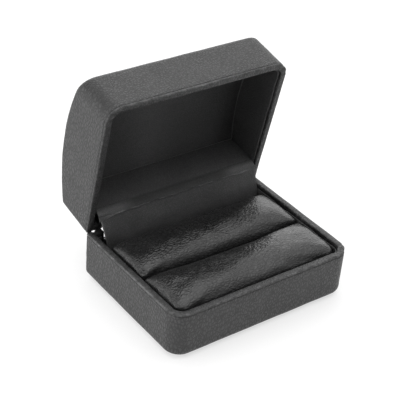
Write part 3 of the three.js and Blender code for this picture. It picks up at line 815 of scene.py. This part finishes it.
def build_lining_back():
    """Covered board on the lid's back wall; its cover rolls over the board's edge and down the flap."""
    y0 = BACK_PANEL_Y - HINGE[1]
    hi = lining_under(y0) + 0.08
    end = HALF_W - LINER_IN - 0.15
    deep = np.concatenate([[hi, hi - 0.22, hi - 0.45], np.linspace(hi - 0.9, 2.2, 11)])
    face = np.column_stack([np.full(len(deep), y0), deep])
    bend = [(27.9, 27.83), (27.0, 27.45), (26.1, 26.95), (25.3, 26.45), (24.9, 26.12)]
    roll_over = from_open(spline(bend, 14))
    # Painted highlight over the roll-over, used towards both ends.
    painted_highlight_top = np.exp(-(((np.arange(len(roll_over)) - 8) / 4.0) ** 2))
    face_end = len(face)
    bend_end = face_end + len(roll_over)
    under = from_open(np.array([(25.9, 26.3), (26.3, 26.45)]))
    board = np.array([(y0 + 1, 0.45), (y0 + 1, 4), (y0 + 1, 12), (y0 + 1, hi - 0.35)])
    flap = np.array(FLAP_PATH)[::-1]
    rings, edge, shade = [], [], []
    for x in np.linspace(-end, end, 230):
        low_z = hem_end(x)
        z = np.linspace(25.98, low_z + 0.08, 7)
        y = np.interp(z, flap[:, 1], flap[:, 0])
        fade = np.clip((31.3 - abs(x + 0.6)) / 2.5, 0, 1)
        thick = 0.12 + 0.42 * fade
        hem = np.column_stack([y - 0.24 - thick, z])
        tip_y = np.interp(low_z, flap[:, 1], flap[:, 0])
        tip = np.array([(tip_y - 0.2 - thick * 0.6, low_z), (tip_y - 0.15, low_z + 0.06)])
        inner = np.column_stack([y[::-1] - 0.1, z[::-1] + 0.1])
        section = np.vstack([face, roll_over, from_open(hem), from_open(tip), from_open(inner), under, board])
        rings.append(np.column_stack([np.full(len(section), x), section]))
        # Painted highlight: the top of the board's face, a light line along the hem's cut edge, the roll-over
        # near the ends.
        painted_lip_highlight = np.zeros(len(section))
        painted_lip_highlight[:2] = 0.8
        uneven = 0.75 + 0.45 * math.sin(0.9 * x) * math.sin(0.23 * x + 1)
        painted_lip_highlight[bend_end + 1:bend_end + 8] = (0.3 + 0.55 * fade) * uneven
        both = np.clip((abs(x) - 19) / 6, 0, 1)
        painted_lip_highlight[face_end:bend_end] += 0.25 * both * painted_highlight_top
        edge.append(painted_lip_highlight)
        # Painted light and shade: the board's face lighter; the roll-over and hem darker in the middle,
        # lighter near the ends.
        tone = np.zeros(len(section))
        tone[:face_end] = 0.6
        tone[face_end + 2:bend_end + 9] = -0.5 + 0.7 * both
        shade.append(tone)

    def shape(pts):
        out = pts.copy()
        ease = np.clip((pts[:, 2] - 0.5) / 3, 0, 1)
        out[:, 1] += (0.05 * waves(pts, 12, 71) + 0.02 * waves(pts, 4, 72)) * ease
        return out

    values = {"edge": np.concatenate(edge), "shade": np.concatenate(shade)}
    obj = loft("lid_lining_back_panel", rings, lid=True, shape=shape, attributes=values)
    finish(obj, LINING_MAT, "lid", ["lid_lining_back"])


build_base_liner()
build_lining_top()
build_lining_wall()
build_lining_back()


# ---------------------------------------------------------------- hinge flap and springs
FLAP_STEPS, FLAP_HALF = 52, 0.22  # steps along the flap, and half its thickness
SPRING_STEPS, SPRING_ACROSS, SPRING_THICK = 36, 10, 0.36


def sheet_body(name, xs, path, thickness):
    """Closed thin sheet along one (y, z) line; it stands half its thickness each side of it."""
    along = np.gradient(path, axis=0)
    along /= np.linalg.norm(along, axis=1)[:, None]
    across = np.column_stack([along[:, 1], -along[:, 0]]) * thickness / 2
    section = np.vstack([path - across, (path + across)[::-1]])
    return loft(name, [np.column_stack([np.full(len(section), x), section]) for x in xs])


def blend_over_hinge(obj):
    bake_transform(obj)


def build_flap():
    """The leatherette over the hinge, cut on a slant at its left end."""
    lo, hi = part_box("hinge_cover_flap")
    left, right = lo.x / MM, hi.x / MM
    path = spline(FLAP_PATH, FLAP_STEPS)
    along = np.gradient(path, axis=0)
    forward = np.column_stack([along[:, 1], -along[:, 0]]) / np.linalg.norm(along, axis=1)[:, None]
    forward *= np.sign(-forward[:, :1])
    slant = 2.05 * np.clip((25.7 - path[:, 1]) / 18.2, 0, 1) ** 1.05 - 0.22
    t = np.linspace(0, 1, FLAP_STEPS)
    free = np.clip((t - 0.1) / 0.25, 0, 1) * np.clip((1 - t) / 0.2, 0, 1)
    rings, edge = [], []
    for k in np.linspace(0, 1, 120):
        x = left + slant + (right - left - slant) * k
        pts = np.column_stack([x, path])
        push = 0.22 * waves(pts * [1, 1, 0.5], 15, 81) + 0.08 * waves(pts * [1, 1, 0.4], 5, 82)
        mid = path + forward * (push * free)[:, None]
        front = mid + forward * FLAP_HALF
        back = mid - forward * FLAP_HALF
        rings.append(np.vstack([np.column_stack([x, front]), np.column_stack([x, back])[::-1]]))
        # Rubbing and painted highlight along the slanted cut end.
        edge.append(np.full(2 * FLAP_STEPS, 0.7 * (k < 0.004)))
    obj = loft("hinge_flap", rings, attributes={"edge": np.concatenate(edge)})
    finish(obj, FLAP_MAT, None, ["hinge_cover_flap"])
    blend_over_hinge(obj)


def build_springs():
    bow = [(25.5, 10.8), (24.5, 13.4), (24, 16.6), (24.6, 19.8), (26.8, 21.9), (30.4, 22.5), (34, 22.4)]
    path = spline(bow, SPRING_STEPS)
    for side in ("left", "right"):
        lo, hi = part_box("hinge_spring_" + side)
        xs = np.linspace(lo.x / MM, hi.x / MM, SPRING_ACROSS)
        obj = sheet_body("bow_spring_" + side, xs, path, SPRING_THICK)
        finish(obj, SPRING_MAT, None, ["hinge_spring_" + side])
        blend_over_hinge(obj)


build_flap()
build_springs()

# ---------------------------------------------------------------- what the frame shows as it is
for names, material in (
    (("base_shell", "lid_shell", "hinge_base_leaf", "hinge_lid_leaf"), STEEL_MAT),
    (("hinge_pin", "hinge_rivet_base_left", "hinge_rivet_base_right", "hinge_rivet_lid_left",
      "hinge_rivet_lid_right"), SPRING_MAT),
    (("base_floor_card", "insert_board"), CARD_MAT),
    (("lid_padding",), FOAM_MAT),
    (("base_underside_panel",), SKIN_MAT),
):
    for name in names:
        part = frame["nodes"][name]
        part.data.materials.clear()
        part.data.materials.append(material)


# ---------------------------------------------------------------- floor and light
# Wide, soft lobes of light round the box: azimuth from +X toward +Y, elevation (both in degrees), strength.
SOFTBOXES = [
    (0, 8, 0.4), (45, 8, 1.35), (90, 8, 1.2), (130, 8, 0.15), (160, 4, 2.9),
    (15, 42, 0.55), (75, 42, 0.8), (135, 42, 0.2), (195, 42, 0.45), (255, 42, 0.05), (312, 48, 0.65),
    (0, 90, 1.8),
]


LOBE_REACH = 45  # degrees from a lobe's middle to its edge
WORLD_LEVEL = 0.02  # the strength outside every lobe
FLOOR_REACH = 3.0  # metres
FLOOR_GREY, FLOOR_GLOW = 0.42, 0.61


def add_stage():
    mesh = bpy.data.meshes.new("floor")
    s = FLOOR_REACH
    mesh.from_pydata([(-s, -s, 0), (s, -s, 0), (s, s, 0), (-s, s, 0)], [], [(0, 1, 2, 3)])
    floor = bpy.data.objects.new("floor", mesh)
    scene.collection.objects.link(floor)
    mat = bpy.data.materials.new("floor_white")
    mat.use_nodes = True
    bsdf = mat.node_tree.nodes["Principled BSDF"]
    bsdf.inputs["Base Color"].default_value = (FLOOR_GREY, FLOOR_GREY, FLOOR_GREY, 1)
    bsdf.inputs["Roughness"].default_value = 0.9
    bsdf.inputs["Specular IOR Level"].default_value = 0.2
    bsdf.inputs["Emission Color"].default_value = (1, 1, 1, 1)
    bsdf.inputs["Emission Strength"].default_value = FLOOR_GLOW
    mesh.materials.append(mat)

    world = bpy.data.worlds.new("studio")
    scene.world = world
    world.use_nodes = True
    tree = world.node_tree
    background = tree.nodes["Background"]
    background.inputs["Color"].default_value = (1, 1, 1, 1)
    coords = node(tree, "ShaderNodeTexCoord").outputs["Generated"]
    total = WORLD_LEVEL
    for azimuth, elevation, power in SOFTBOXES:
        a, e = math.radians(azimuth), math.radians(elevation)
        dot = node(tree, "ShaderNodeVectorMath", operation="DOT_PRODUCT")
        tree.links.new(coords, dot.inputs[0])
        dot.inputs[1].default_value = (math.cos(a) * math.cos(e), math.sin(a) * math.cos(e), math.sin(e))
        glow = node(tree, "ShaderNodeMapRange", interpolation_type="SMOOTHSTEP")
        glow.inputs["From Min"].default_value = math.cos(math.radians(LOBE_REACH))
        glow.inputs["To Max"].default_value = power
        tree.links.new(dot.outputs["Value"], glow.inputs["Value"])
        total = maths(tree, "ADD", glow.outputs["Result"], total)
    tree.links.new(total, background.inputs["Strength"])


add_stage()
